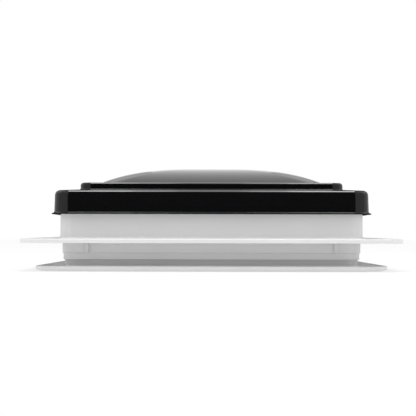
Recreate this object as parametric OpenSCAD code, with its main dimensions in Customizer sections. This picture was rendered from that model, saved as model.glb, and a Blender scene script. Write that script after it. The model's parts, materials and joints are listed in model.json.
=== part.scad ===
// Crank-up roof vent for a 14 inch (356 mm) caravan roof opening.
// Frame: +Z is up, -Y is the front (opening side) and +Y the hinge side. The origin is at the
// centre of the roof opening, on the underside of the roof flange, which lies on the roof skin.

/* [Roof opening and base frame] */
// Width of the square roof opening that the neck drops into
opening_w = 355.6; // [355:0.1:358]
// Gap between the neck and the opening, on each side
neck_gap = 3.3; // [3:0.1:3.6]
// Width of the roof flange
flange_w = 436; // [432:1:440]
// Height of the flange's outer edge, below its rounding
flange_edge = 3.3; // [3:0.1:4]
// Corner radius of the flange
flange_corner = 12; // [9:1:16]
// Width of the collar that stands up inside the lid
collar_w = 352.8; // [352:0.2:355]
// Height of the collar's rim above the roof
collar_top = 47; // [45:0.5:48]
// Wall thickness of the collar
collar_wall = 3; // [2.6:0.1:3.4]
// Depth of the neck below the roof surface
neck_depth = 19.2; // [17:0.2:22]

/* [Lid] */
// Width of the lid across its skirt, above the lip
lid_w = 366.8; // [366:0.2:368]
// Height of the lid's lower edge above the roof
lid_bottom = 33.4; // [33:0.1:35]
// Height of the shoulder's outer edge above the roof
shoulder_low = 61.4; // [61:0.1:62]
// Height of the shoulder where it meets the step
shoulder_high = 62.9; // [62.5:0.1:64]
// Width of the raised step
step_w = 309.8; // [308:0.2:312]
// Height of the step above the roof
step_top = 71.0; // [70.5:0.1:73]
// Width of the dome at its foot
dome_w = 270; // [250:2:276]
// Height of the dome above the roof
dome_top = 92.4; // [88:0.2:94]
// Shape exponent of the dome: higher is flatter on top
dome_power = 3; // [2.6:0.1:3.4]
// Wall thickness of the lid
lid_wall = 2.5; // [2.2:0.1:2.6]

/* [Ceiling trim ring] */
// Width of the trim ring
trim_w = 409.4; // [406:0.2:412]
// Depth of the trim ring's face below the roof surface
trim_bottom = 32.5; // [31:0.5:36]
// Corner radius of the trim ring
trim_corner = 40; // [36:1:44]

/* [Lift gear] */
// Distance of the lid hinge behind the centre
hinge_y = 190; // [190:0.5:192]
// Height of the lid hinge
hinge_z = 26; // [25:0.5:26.5]
// Angle that the lid opens to
open_angle = 40; // [30:1:40]
// Height of the cross shaft
shaft_z = 34; // [33:0.5:35]
// Angle between the lid slot and the line from hinge to shaft, when closed
slot_lead = 1.5; // [1.3:0.1:1.7]
// Number of teeth on the worm wheel
wheel_teeth = 30; // [28:2:30]
// Module of the worm and wheel
gear_module = 1.25; // [1.2:0.05:1.25]
// Distance of each lift arm from the centre
arm_x = 132; // [128:1:134]

/* [Insect screen] */
// Depth of the screen frame's underside below the roof surface
screen_bottom = 18; // [17:0.5:20]
// Width of the screen frame's bars
screen_bar = 12; // [10:1:16]

/* [Crank knob] */
// Diameter of the knob
knob_d = 42; // [38:1:46]
// Number of finger scallops round the knob
knob_lobes = 8; // [6:1:10]

/* [Hidden] */
$fn = 48;
slip = 0.05;                  // radial clearance of a running fit

// base frame
neck_half = opening_w / 2 - neck_gap;
collar_half = collar_w / 2;
flange_half = flange_w / 2;
collar_in = collar_half - collar_wall;
collar_corner = 15;
neck_corner = 20;
neck_step = 1.2;              // the lower part of the neck is smaller by this on each side
neck_step_z = -11.4;
neck_in = neck_half - 2.6;
flange_top = 6.9;             // flange height where it meets the collar
flange_round = 1.7;
roof_hole = [198, 66];        // places of the roof screws along each edge
roof_hole_r = 2.3;
rib_x = 144.2;                // ribs that centre the neck in the roof opening
rib_w = 3.8;
pad = [158, 21, 33];          // bridge pads: inner end in x, and their sides in y
boss_h = 6;                   // height of the bearing bosses on the collar

// lid
lid_half = lid_w / 2;
lid_corner = 20;
lid_draft = 0.6;
lip_out = 3.2;
lip_h = 1.4;
shoulder_round = 6;
step_half = step_w / 2;
step_corner = 15;
step_round = 3.5;
dome_half = dome_w / 2;
dome_steps = 14;

// trim ring
trim_half = trim_w / 2;
trim_plate = 3.1;
trim_rim = 6.2;
trim_neck_out = neck_in - 0.3;
trim_neck_in = trim_neck_out - 2.4;
trim_neck_corner = neck_corner - 2.9;
trim_neck_top = -4.5;
ceiling_hole = [187, 100];
ceiling_hole_r = 2.25;
trim_screw_at = 110;
trim_screw_z = -8.2;
screen_stop_z = -13;

// hinge
hinge_x = 95;
pin_r = 2;
knuckle_r = 4.5;
knuckle_half = 12;
ear_r = 6;
ear_w = 5;
leaf_half = 18;
leaf_t = 2;
leaf_bottom = 35;
leaf_top = 52;
rivet_at = [12, 39.6, 47.4];      // offset from the leaf's centre, and the two heights
rivet_r = 1.6;

// lift gear: the arm is as long as the distance from hinge to shaft, so that it turns exactly
// twice as fast as the lid, and its roller stays on a straight slot that points at the hinge
wheel_pitch_r = wheel_teeth * gear_module / 2;
worm_pitch_r = 6.5;
worm_pitch = PI * gear_module;
shaft_y = wheel_pitch_r + worm_pitch_r;
arm_len = norm([hinge_y - shaft_y, shaft_z - hinge_z]);
base_angle = atan2(shaft_z - hinge_z, hinge_y - shaft_y);
slot_angle = base_angle + slot_lead;
arm_angle = base_angle + 2 * slot_lead;
slot_far = 2 * arm_len * cos(slot_lead);
slot_near = 2 * arm_len * cos(slot_lead + open_angle);
shaft_r = 4;
shaft_half = 162;
arm_t = 3;
roller_r = 4.8;
roller_pin_r = 2;
slot_r = roller_r + 0.2;
bracket_x = arm_x + 5;
bracket_t = 3;
bracket_flange_z = 60.5;
bracket_screw_x = bracket_x + 8;
bracket_screw_y = [-128, -62];
worm_shaft_r = 4;
worm_core_r = worm_pitch_r - 1.4;
wheel_w = 8;
clip_t = 1;

// bridge and gearbox
bridge_z = [0, 10];
bridge_half_w = 20;
bridge_wall = 2.4;
bridge_screw = [165, 27];     // place of its screws in x and y
deck = [26, -18, 52];         // gearbox deck: half width, and its ends in y
box_half = 14;
box_wheel_r = 24;
box_wall = 2.4;
box_worm_half = 12;
box_floor = 4;                // thickness of the gearbox floor under the worm
box_top = shaft_z + 17;
box_screw = [19, -8, 34];     // place of its screws in x, and their two places in y
bearing_z = [20, 46];
bearing_half = 16;
bearing_plate = 2.5;
bearing_x = collar_in - boss_h - bearing_plate;
bearing_len = 12;
bearing_screw_y = 12.5;       // distance of its screws from the shaft, at the shaft's height

// screen and knob
screen_t = 4;
screen_half = trim_neck_in - 1;
screen_corner = trim_neck_corner - 3.4;
spline_half = screen_half - screen_bar / 2;
hub_in = 30;
hub_out = 36;
mesh_t = 0.5;
knob_top = -12;
knob_bottom = -29;

// ---- shared shapes ----

// A square with rounded corners, given by half its width
module rounded_square(half, r) {
  square([2 * half, 2 * (half - r)], center = true);
  square([2 * (half - r), 2 * half], center = true);
  for (sx = [-1, 1], sy = [-1, 1])
    translate([sx * (half - r), sy * (half - r)]) circle(r);
}

// A rounded square prism from z0 to z1
module rounded_prism(half, r, z0, z1) {
  translate([0, 0, z0]) linear_extrude(z1 - z0) rounded_square(half, r);
}

// Sweeps a profile round a square whose corner centres are at +-inset.
// The profile's x runs outward from the line of corner centres, and its y is the height.
module frame_sweep(inset) {
  for (turn = [0:3]) rotate(90 * turn) translate([inset, inset, 0]) {
    rotate_extrude(angle = 90) children();
    rotate([90, 0, 0]) linear_extrude(2 * inset) children();
  }
}

// A square block whose top slopes on all four sides, from the height high_z at high_half
// down to low_z at low_half
module hip_block(low_half, low_z, high_half, high_z, bottom) {
  intersection_for(turn = [0, 90]) rotate(turn) rotate([90, 0, 0])
    linear_extrude(2 * low_half, center = true) polygon([
      [-low_half, bottom], [low_half, bottom], [low_half, low_z],
      [high_half, high_z], [-high_half, high_z], [-low_half, low_z]
    ]);
}

// Extrudes a drawing of the YZ plane along X, from x0 to x1
module along_x(x0, x1) {
  translate([x0, 0, 0]) rotate([90, 0, 90]) linear_extrude(x1 - x0) children();
}

// A cylinder along X, from x0 to x1, at a place in the YZ plane
module rod_x(r, x0, x1, y, z) {
  translate([x0, y, z]) rotate([0, 90, 0]) cylinder(r = r, h = x1 - x0);
}

// A pan head screw along -Z, with the head's seat at z = 0 and a cross recess in the head
module pan_screw(shank_r, length, head_r, head_h) {
  dome_r = (head_r * head_r + head_h * head_h) / (2 * head_h);
  translate([0, 0, -length]) cylinder(r = shank_r, h = length + head_h / 2);
  difference() {
    intersection() {
      cylinder(r = head_r, h = head_h);
      translate([0, 0, head_h - dome_r]) sphere(dome_r);
    }
    for (turn = [0, 90]) rotate(turn) translate([-head_r * 0.55, -head_r * 0.12, head_h * 0.45])
      cube([head_r * 1.1, head_r * 0.24, head_h]);
  }
}

// Left and right copies of a part that is drawn on the right
module on_side(side) {
  if (side > 0) children();
  else mirror([1, 0, 0]) children();
}

// ---- base frame ----

module flange_profile() {
  edge = flange_corner;
  square([edge, flange_edge]);
  square([edge - flange_round, flange_edge + flange_round]);
  translate([edge - flange_round, flange_edge]) circle(flange_round);
}

module roof_screw_places() {
  for (sx = [-1, 1], sy = [-1, 1]) {
    translate([sx * roof_hole[0], sy * roof_hole[0]]) children();
    translate([sx * roof_hole[1], sy * roof_hole[0]]) children();
    translate([sx * roof_hole[0], sy * roof_hole[1]]) children();
  }
}

module centring_ribs() {
  for (turn = [0, 180]) rotate(turn) for (side = [-1, 1])
    translate([side * rib_x - rib_w / 2, -opening_w / 2 + 0.3, neck_step_z])
      cube([rib_w, neck_gap + 2, 1 - neck_step_z]);
}

module bridge_pads() {
  for (sx = [-1, 1], sy = [-1, 1])
    translate([sx > 0 ? pad[0] : -collar_in - 1, sy > 0 ? pad[1] : -pad[2], -3.5])
      cube([collar_in + 1 - pad[0], pad[2] - pad[1], 3.5 + bridge_z[1] - bridge_wall]);
}

module hinge_ears() {
  for (sx = [-1, 1], s = [-1, 1]) {
    x = sx * hinge_x + s * (knuckle_half + 0.5 + ear_w / 2);
    along_x(x - ear_w / 2, x + ear_w / 2) {
      translate([hinge_y, hinge_z]) circle(ear_r);
      polygon([
        [collar_half - 1, 10], [hinge_y - 2, hinge_z - ear_r + 0.4], [hinge_y, hinge_z - ear_r],
        [hinge_y, hinge_z + ear_r], [collar_half - 1, hinge_z + ear_r]
      ]);
    }
  }
}

// The flange's top rises to the collar, so that rain runs off
module flange() {
  square_half = flange_half - flange_corner;
  top_half = flange_half - flange_round;
  frame_sweep(square_half) flange_profile();
  translate([-square_half, -square_half, 0])
    cube([2 * square_half, 2 * square_half, flange_edge + flange_round]);
  intersection() {
    hip_block(top_half, flange_edge + flange_round, collar_half, flange_top, 0);
    rounded_prism(top_half, flange_corner - flange_round, 0, 2 * flange_top);
  }
}

module base_frame() {
  color("whitesmoke") difference() {
    union() {
      difference() {
        union() {
          flange();
          rounded_prism(collar_half, collar_corner, 0, collar_top);
          rounded_prism(neck_half, neck_corner, neck_step_z, 1);
          rounded_prism(neck_half - neck_step, neck_corner - neck_step, -neck_depth, neck_step_z + 1);
          centring_ribs();
        }
        rounded_prism(collar_in, collar_corner - collar_wall, flange_edge, collar_top + 1);
        rounded_prism(neck_in, neck_corner - 2.6, -neck_depth - 1, flange_top);
      }
      hinge_ears();
      bridge_pads();
      bearing_screw_places() translate([0, 0, -boss_h]) cylinder(r = 5, h = boss_h + 1);
    }
    roof_screw_places() translate([0, 0, -1]) cylinder(r = roof_hole_r, h = flange_top + 2);
    for (sx = [-1, 1]) rod_x(pin_r, sx * hinge_x - 20, sx * hinge_x + 20, hinge_y, hinge_z);
    trim_screw_places() cylinder(r = 1.5, h = 14, center = true);
    bridge_screw_places() translate([0, 0, -1]) cylinder(r = 1.5, h = bridge_z[1]);
    bearing_screw_places() translate([0, 0, -boss_h - 1]) cylinder(r = 1.5, h = 8);
  }
}

// Weather seal: a channel that grips the collar's rim, with a soft bulb on top
module lid_seal() {
  rim = collar_corner - collar_wall;
  color("dimgray") frame_sweep(collar_half - collar_corner) difference() {
    union() {
      translate([rim - 1.6, collar_top - 7]) square([collar_wall + 3.2, 9]);
      translate([rim, collar_top]) square([collar_wall, 6]);
      translate([rim + collar_wall / 2, collar_top + 7.3]) circle(4.5);
    }
    translate([rim - slip, collar_top - 8]) square([collar_wall + 2 * slip, 8 + slip]);
  }
}

// ---- ceiling trim ring ----

module trim_edge_profile() {
  plate_z = -trim_bottom;
  out = trim_corner;
  bow = 14;                   // width of the rounded edge under the rim
  lift = 3;                   // how far that edge curves up
  polygon(concat(
    [[0, plate_z + trim_plate], [0, plate_z]],
    [for (a = [0:15:90]) [out - bow + bow * sin(a), plate_z + lift * (1 - cos(a))]],
    [
      [out, plate_z + trim_rim - 0.4], [out - 0.4, plate_z + trim_rim], [out - 1.8, plate_z + trim_rim],
      [out - 2.2, plate_z + trim_rim - 0.4], [out - 2.6, plate_z + trim_plate + 1], [out - 3.6, plate_z + trim_plate]
    ]
  ));
}

module ceiling_screw_places() {
  for (sx = [-1, 1], sy = [-1, 1]) {
    translate([sx * ceiling_hole[1], sy * ceiling_hole[0]]) children();
    translate([sx * ceiling_hole[0], sy * ceiling_hole[1]]) children();
  }
}

module trim_screw_places() {
  for (sx = [-1, 1], sy = [-1, 1])
    translate([sx * trim_neck_out, sy * trim_screw_at, trim_screw_z]) rotate([0, sx * 90, 0]) children();
}

// Low ribs that the insect screen snaps over
module snap_ribs() {
  for (turn = [0:3]) rotate(90 * turn) for (side = [-1, 1])
    translate([trim_neck_in - 0.6, side * 70 - 12, -screen_bottom - 2.4]) cube([1.6, 24, 1.8]);
}

module trim_ring() {
  square_half = trim_half - trim_corner;
  inner_corner = trim_neck_corner - 2.4;
  color("white") difference() {
    union() {
      difference() {
        union() {
          frame_sweep(square_half) trim_edge_profile();
          translate([-square_half, -square_half, -trim_bottom])
            cube([2 * square_half, 2 * square_half, trim_plate]);
          rounded_prism(trim_neck_out, trim_neck_corner, 1 - trim_bottom, trim_neck_top);
        }
        rounded_prism(trim_neck_in, inner_corner, -trim_bottom - 1, screen_stop_z);
        rounded_prism(trim_neck_in - 2.5, inner_corner - 2.5, screen_stop_z - 1, screen_stop_z + 3);
        rounded_prism(trim_neck_in, inner_corner, screen_stop_z + 2, trim_neck_top + 1);
      }
      snap_ribs();
    }
    ceiling_screw_places() translate([0, 0, -trim_bottom]) {
      translate([0, 0, -1]) cylinder(r = ceiling_hole_r, h = trim_plate + 2);
      translate([0, 0, -1]) cylinder(r = 4.3, h = 2.1);
    }
    trim_screw_places() cylinder(r = 1.6, h = 10, center = true);
  }
}

module trim_screws() {
  color("silver") trim_screw_places() translate([0, 0, -2.4]) rotate([180, 0, 0]) pan_screw(1.5, 5.6, 2.4, 1.6);
}

// ---- bridge, gearbox and bearings ----

module bridge_screw_places() {
  for (sx = [-1, 1], sy = [-1, 1]) translate([sx * bridge_screw[0], sy * bridge_screw[1], 0]) children();
}

module gearbox_screw_places() {
  for (sx = [-1, 1], y = [box_screw[1], box_screw[2]]) translate([sx * box_screw[0], y, 0]) children();
}

// One half of the bridge: an open-topped channel with slots in its floor and a tab at its end
module bridge_arm() {
  end = neck_in - 0.3;
  difference() {
    union() {
      translate([0, -bridge_half_w, bridge_z[0]]) cube([end, 2 * bridge_half_w, bridge_z[1] - bridge_z[0]]);
      translate([pad[0] + 0.5, -pad[2], bridge_z[1] - bridge_wall])
        cube([end - pad[0] - 0.5, 2 * pad[2], bridge_wall]);
    }
    translate([34, -bridge_half_w + bridge_wall, bridge_z[0] + bridge_wall])
      cube([pad[0] - 36, 2 * (bridge_half_w - bridge_wall), 20]);
    for (x = [46:22:134]) translate([x - 4, -12, bridge_z[0] - 1]) cube([8, 24, 20]);
  }
}

module bridge() {
  color("lightgray") difference() {
    union() {
      bridge_arm();
      mirror([1, 0, 0]) bridge_arm();
      translate([-deck[0], deck[1], bridge_z[1] - 5]) cube([2 * deck[0], deck[2] - deck[1], 5]);
    }
    difference() {
      translate([-26, -bridge_half_w + bridge_wall, bridge_z[0] - 1])
        cube([52, 2 * (bridge_half_w - bridge_wall), 6]);
      cylinder(r = 10, h = 20, center = true);
    }
    translate([0, 0, -1]) cylinder(r = 7, h = 20);
    bridge_screw_places() cylinder(r = 1.6, h = 20);
    gearbox_screw_places() cylinder(r = 1.5, h = 20);
  }
}

module bridge_screws() {
  color("silver") bridge_screw_places() translate([0, 0, bridge_z[1]]) pan_screw(1.5, 8, 2.8, 1.6);
}

// Outline of the gearbox in the YZ plane, with its walls taken off where hollow
module box_outline(wall, floor_z) {
  translate([shaft_y, shaft_z]) circle(box_wheel_r - wall);
  translate([-box_worm_half + wall, floor_z]) square([2 * (box_worm_half - wall), box_top - wall - floor_z]);
}

module gearbox_body() {
  floor_z = bridge_z[1];
  difference() {
    union() {
      along_x(-box_half, box_half) {
        box_outline(0, floor_z);
        translate([-box_worm_half, floor_z]) square([shaft_y + 2 * box_worm_half, 8]);
      }
      translate([-box_screw[0] - 5, box_screw[1] - 6, floor_z])
        cube([2 * box_screw[0] + 10, box_screw[2] - box_screw[1] + 12, 3]);
    }
    along_x(-box_half + box_wall, box_half - box_wall) box_outline(box_wall, floor_z + box_floor);
    rod_x(shaft_r + 0.3, -50, 50, shaft_y, shaft_z);
    translate([0, 0, floor_z - 1]) cylinder(r = 6, h = 60);
    gearbox_screw_places() cylinder(r = 1.6, h = 20);
  }
}

module gearbox_shell(side) {
  color("gainsboro") intersection() {
    gearbox_body();
    translate([side > 0 ? 0 : -60, -60, 0]) cube([60, 160, 100]);
  }
}

module gearbox_screws() {
  color("silver") gearbox_screw_places() translate([0, 0, bridge_z[1] + 3]) pan_screw(1.5, 8, 2.8, 1.8);
}

// Bush that guides the worm shaft in the gearbox, from z0 to z1
module worm_bush(z0, z1) {
  color("ivory") translate([0, 0, z0]) difference() {
    cylinder(r = 6, h = z1 - z0);
    translate([0, 0, -1]) cylinder(r = worm_shaft_r + slip, h = z1 - z0 + 2);
  }
}

module bearing_screw_places() {
  for (sx = [-1, 1], s = [-1, 1])
    translate([sx * collar_in, shaft_y + s * bearing_screw_y, shaft_z])
      rotate([0, sx * 90, 0]) children();
}

module bearing_bracket() {
  color("lightgray") difference() {
    union() {
      translate([bearing_x, shaft_y - bearing_half, bearing_z[0]])
        cube([bearing_plate, 2 * bearing_half, bearing_z[1] - bearing_z[0]]);
      rod_x(9, bearing_x - bearing_len, bearing_x + 1, shaft_y, shaft_z);
      translate([bearing_x - bearing_len, shaft_y - 1.5, bearing_z[0]]) cube([bearing_len + 0.5, 3, 8]);
    }
    rod_x(5.6, bearing_x - bearing_len - 1, bearing_x, shaft_y, shaft_z);
    bearing_screw_places() cylinder(r = 1.6, h = 30, center = true);
  }
}

module bearing_screws() {
  color("silver") bearing_screw_places() translate([0, 0, -boss_h - bearing_plate])
    rotate([180, 0, 0]) pan_screw(1.5, 8, 2.8, 1.6);
}

module shaft_bush() {
  face = bearing_x - bearing_len;
  color("ivory") difference() {
    union() {
      rod_x(5.6, face, bearing_x, shaft_y, shaft_z);
      rod_x(7.5, face - 1.2, face, shaft_y, shaft_z);
    }
    rod_x(shaft_r + slip, face - 2, bearing_x + 1, shaft_y, shaft_z);
  }
}

// ---- lid ----

function dome_z(x) = dome_top - (dome_top - step_top) * pow(abs(x) / dome_half, dome_power);

// The dome is where two vaults at right angles meet, so its plan is square
module dome_block(wall) {
  half = dome_half - wall / 2;
  xs = [for (i = [-dome_steps:dome_steps]) half * sign(i) * pow(abs(i) / dome_steps, 0.8)];
  intersection_for(turn = [0, 90]) rotate(turn) rotate([90, 0, 0])
    linear_extrude(2 * half, center = true) polygon(concat(
      [[half, step_top - 8], [-half, step_top - 8]],
      [for (x = xs) [x, dome_z(x) - wall]]
    ));
}

// A rounded block with a filleted top edge, from z0 to z1
module filleted_block(half, corner, fillet, z0, z1) {
  flat = half - corner;
  frame_sweep(flat) {
    translate([0, z0]) square([corner, z1 - z0 - fillet]);
    translate([0, z0]) square([corner - fillet, z1 - z0]);
    translate([corner - fillet, z1 - fillet]) circle(fillet);
  }
  translate([-flat, -flat, z0]) cube([2 * flat, 2 * flat, z1 - z0]);
}

// The lid's form without its lip: its outside, or the hollow inside a wall
module lid_form(wall) {
  flat = lid_half - lid_corner;
  out = lid_corner - wall;
  top = shoulder_low - wall;
  edge = shoulder_round - wall;
  low_half = lid_half - lid_draft - shoulder_round;
  bottom = wall > 0 ? lid_bottom - 1 : lid_bottom;
  frame_sweep(flat) {
    polygon([
      [0, bottom], [out, bottom], [out - lid_draft, top - edge], [out - lid_draft - edge, top], [0, top]
    ]);
    translate([out - lid_draft - edge, top - edge]) circle(edge);
  }
  translate([-flat, -flat, bottom]) cube([2 * flat, 2 * flat, top - bottom]);
  intersection() {
    hip_block(low_half, top, step_half, shoulder_high - wall, bottom);
    rounded_prism(low_half, lid_corner - lid_draft - shoulder_round, bottom, shoulder_high);
  }
  filleted_block(step_half - wall, step_corner - wall, wall > 0 ? 1 : step_round, bottom, step_top - wall);
  dome_block(wall);
}

module lid_lip_profile() {
  out = lid_corner;
  tip = out + lip_out;
  polygon([
    [out - 2, lid_bottom], [tip - 0.4, lid_bottom], [tip, lid_bottom + 0.4], [tip, lid_bottom + lip_h - 0.4],
    [tip - 0.4, lid_bottom + lip_h], [out + 1.4, lid_bottom + lip_h + 0.5],
    [out + 0.3, lid_bottom + lip_h + 1.6], [out - 2, lid_bottom + lip_h + 1.6]
  ]);
}

module bracket_screw_places() {
  for (sx = [-1, 1], y = bracket_screw_y) translate([sx * bracket_screw_x, y, 0]) children();
}

module rivet_places() {
  for (sx = [-1, 1], s = [-1, 1], z = [rivet_at[1], rivet_at[2]])
    translate([sx * hinge_x + s * rivet_at[0], lid_half, z]) rotate([-90, 0, 0]) children();
}

module lid() {
  color([0.05, 0.05, 0.055]) difference() {
    union() {
      difference() {
        union() {
          lid_form(0);
          frame_sweep(lid_half - lid_corner) lid_lip_profile();
        }
        lid_form(lid_wall);
      }
      bracket_screw_places() translate([0, 0, bracket_flange_z + 2])
        cylinder(r = 4, h = step_top - bracket_flange_z - 3);
    }
    bracket_screw_places() translate([0, 0, bracket_flange_z]) cylinder(r = 1.5, h = 9);
    for (sx = [-1, 1]) translate([sx * hinge_x - 20, lid_half, lid_bottom - 1]) cube([40, 10, 8]);
    rivet_places() cylinder(r = rivet_r, h = 12, center = true);
  }
}

// ---- hinges ----

module hinge_leaf() {
  difference() {
    color("black") union() {
      along_x(hinge_x - leaf_half, hinge_x + leaf_half)
        translate([lid_half, leaf_bottom]) square([leaf_t, leaf_top - leaf_bottom]);
      along_x(hinge_x - knuckle_half, hinge_x + knuckle_half) {
        translate([hinge_y, hinge_z]) circle(knuckle_r);
        polygon([
          [lid_half, leaf_bottom + 1], [lid_half + leaf_t, leaf_bottom + 1],
          [hinge_y + 0.6, hinge_z + knuckle_r - 0.1], [hinge_y - 3.6, hinge_z + 1], [lid_half, leaf_bottom - 2.6]
        ]);
      }
    }
    rod_x(pin_r + slip, hinge_x - 30, hinge_x + 30, hinge_y, hinge_z);
    rivet_places() cylinder(r = rivet_r, h = 12, center = true);
  }
}

module hinge_rivets() {
  head_r = 3.2;
  inside = lid_wall + lid_draft + 0.2;
  color("silver") rivet_places() {
    translate([0, 0, -inside - 1]) cylinder(r = rivet_r, h = inside + 1 + leaf_t);
    translate([0, 0, -inside - 1]) cylinder(r = 2.4, h = 1);
    translate([0, 0, leaf_t]) intersection() {
      cylinder(r = head_r, h = 1.3);
      translate([0, 0, 1.3 - 4.6]) sphere(4.6);
    }
  }
}

module hinge_pin() {
  end = knuckle_half + 0.5 + ear_w;
  color("silver") {
    rod_x(pin_r, hinge_x - end - 1, hinge_x + end, hinge_y, hinge_z);
    rod_x(3.4, hinge_x + end, hinge_x + end + 1.4, hinge_y, hinge_z);
  }
}

// ---- lift gear ----

// A place on the slot line, at a distance from the hinge
function slot_point(s) = [hinge_y - s * cos(slot_angle), hinge_z + s * sin(slot_angle)];
arm_end = slot_point(slot_far);

module lift_bracket() {
  far = slot_point(slot_far);
  near = slot_point(slot_near);
  length = slot_far - slot_near;
  color("silver") difference() {
    union() {
      along_x(bracket_x, bracket_x + bracket_t) {
        translate(far) circle(9.5);
        translate(near) circle(9.5);
        translate(near) rotate(180 - slot_angle) translate([0, -9.5]) square([length, 19]);
        polygon([
          far + [-9.5, 0], near + [9.5, 0],
          [near[0] + 2, bracket_flange_z + 2], [far[0] - 9.5, bracket_flange_z + 2]
        ]);
      }
      translate([bracket_x, bracket_screw_y[0] - 9, bracket_flange_z])
        cube([14, bracket_screw_y[1] - bracket_screw_y[0] + 18, 2]);
    }
    along_x(bracket_x - 1, bracket_x + bracket_t + 1) {
      translate(far) circle(slot_r);
      translate(near) circle(slot_r);
      translate(near) rotate(180 - slot_angle) translate([0, -slot_r]) square([length, 2 * slot_r]);
    }
    bracket_screw_places() translate([0, 0, bracket_flange_z - 1]) cylinder(r = 1.6, h = 5);
  }
}

module bracket_screws() {
  color("silver") bracket_screw_places()
    translate([0, 0, bracket_flange_z]) rotate([180, 0, 0]) pan_screw(1.5, 8, 2.8, 1.6);
}

module cross_shaft() {
  color("silver") difference() {
    rod_x(shaft_r, -shaft_half, shaft_half, shaft_y, shaft_z);
    key_block();
  }
}

// Retaining rings that keep the shaft between its bushes
module shaft_clips() {
  face = bearing_x - bearing_len - 1.2 - 0.4;
  color("dimgray") for (side = [-1, 1]) on_side(side) difference() {
    rod_x(6.2, face - clip_t, face, shaft_y, shaft_z);
    rod_x(shaft_r, face - 5, face + 5, shaft_y, shaft_z);
    translate([face - 5, shaft_y - 2, shaft_z - 10]) cube([10, 4, 8]);
  }
}

module lift_arm() {
  hub = 9;
  tip = 7;
  color("silver") difference() {
    union() {
      along_x(arm_x, arm_x + arm_t) {
        translate([shaft_y, shaft_z]) circle(hub);
        translate(arm_end) circle(tip);
        translate([shaft_y, shaft_z]) rotate(180 - arm_angle)
          polygon([[0, -hub + 1.5], [arm_len, -tip + 0.8], [arm_len, tip - 0.8], [0, hub - 1.5]]);
      }
      rod_x(7.5, arm_x - 7, arm_x + 1, shaft_y, shaft_z);
    }
    rod_x(shaft_r, arm_x - 8, arm_x + 8, shaft_y, shaft_z);
    rod_x(roller_pin_r, arm_x - 1, arm_x + arm_t + 1, arm_end[0], arm_end[1]);
    for (at = [0.3:0.2:0.7]) rod_x(3.6, arm_x - 1, arm_x + arm_t + 1,
      shaft_y - at * arm_len * cos(arm_angle), shaft_z + at * arm_len * sin(arm_angle));
    translate([arm_x - 3.5, shaft_y, shaft_z]) cylinder(r = 1.5, h = 10);
  }
}

module arm_set_screws() {
  color("dimgray") for (sx = [-1, 1]) translate([sx * (arm_x - 3.5), shaft_y, shaft_z + shaft_r]) difference() {
    cylinder(r = 1.5, h = 4);
    translate([0, 0, 2.4]) cylinder(r = 0.8, h = 3, $fn = 6);
  }
}

module roller_pins() {
  color("silver") for (side = [-1, 1]) on_side(side) {
    rod_x(roller_pin_r, arm_x, arm_x + 11, arm_end[0], arm_end[1]);
    rod_x(3.6, arm_x + 10.4, arm_x + 11.6, arm_end[0], arm_end[1]);
  }
}

module roller() {
  color("ivory") difference() {
    union() {
      rod_x(roller_r, arm_x + arm_t + 0.3, arm_x + 10, arm_end[0], arm_end[1]);
      rod_x(7, arm_x + arm_t + 0.3, arm_x + arm_t + 1.5, arm_end[0], arm_end[1]);
    }
    rod_x(roller_pin_r + slip, arm_x, arm_x + 12, arm_end[0], arm_end[1]);
  }
}

// Straight-flanked teeth, with a gap at the worm
module worm_wheel() {
  step = 360 / wheel_teeth;
  root_r = wheel_pitch_r - 1.15 * gear_module;
  tip_r = wheel_pitch_r + 0.8 * gear_module;
  root_a = 3.6;               // half the angle of a tooth at its root
  tip_a = 1.3;                // half the angle of a tooth at its tip
  tooth = [[root_r, -root_a], [tip_r, -tip_a], [tip_r, tip_a], [root_r, root_a]];
  color("burlywood") difference() {
    union() {
      along_x(-wheel_w / 2, wheel_w / 2) translate([shaft_y, shaft_z]) polygon([
        for (i = [0:wheel_teeth - 1], p = tooth)
          let (a = 180 + (i + 0.5) * step + p[1]) p[0] * [cos(a), sin(a)]
      ]);
      rod_x(9, -9, 9, shaft_y, shaft_z);
    }
    rod_x(shaft_r, -20, 20, shaft_y, shaft_z);
    key_block();
  }
}

module key_block() {
  translate([-8.5, shaft_y - 1, shaft_z + shaft_r - 1.2]) cube([17, 2, 2.4]);
}

module wheel_key() {
  color("silver") key_block();
}

// The worm's thread: a trapezoid swept along a right-hand helix, in the wheel's tooth gap at mid length
module worm_thread() {
  per_turn = 20;
  turns = 5;
  n = per_turn * turns;
  root = worm_core_r - 0.3;
  tip = worm_pitch_r + 0.7 * gear_module;
  foot = 0.95;                // half the thread's width at its foot
  crest = 0.3;                // half the thread's width at its crest
  section = [[root, -foot], [tip, -crest], [tip, crest], [root, foot]];
  points = [
    for (i = [0:n], p = section)
      let (t = i / per_turn - turns / 2, a = 90 + 360 * t)
      [p[0] * cos(a), p[0] * sin(a), shaft_z + worm_pitch * t + p[1]]
  ];
  sides = [
    for (i = [0:n - 1], k = [0:3])
      [4 * i + k, 4 * i + (k + 1) % 4, 4 * (i + 1) + (k + 1) % 4, 4 * (i + 1) + k]
  ];
  polyhedron(points, concat(sides, [[3, 2, 1, 0], [4 * n, 4 * n + 1, 4 * n + 2, 4 * n + 3]]));
}

module worm_shaft() {
  from = knob_top - 7;
  core = [bridge_z[1] + box_floor + 0.4, box_top - box_wall - 0.4];
  color("silver") {
    translate([0, 0, from]) cylinder(r = worm_shaft_r, h = box_top + 3 - from);
    translate([0, 0, core[0]]) cylinder(r = worm_core_r, h = core[1] - core[0]);
    worm_thread();
  }
}

// Retaining ring on the end of the worm shaft, above the gearbox
module worm_clip() {
  color("dimgray") translate([0, 0, box_top + 0.4]) difference() {
    cylinder(r = 6.2, h = clip_t);
    translate([0, 0, -1]) cylinder(r = worm_shaft_r, h = 4);
    translate([-2, 2, -1]) cube([4, 8, 4]);
  }
}

// ---- crank knob ----

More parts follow.
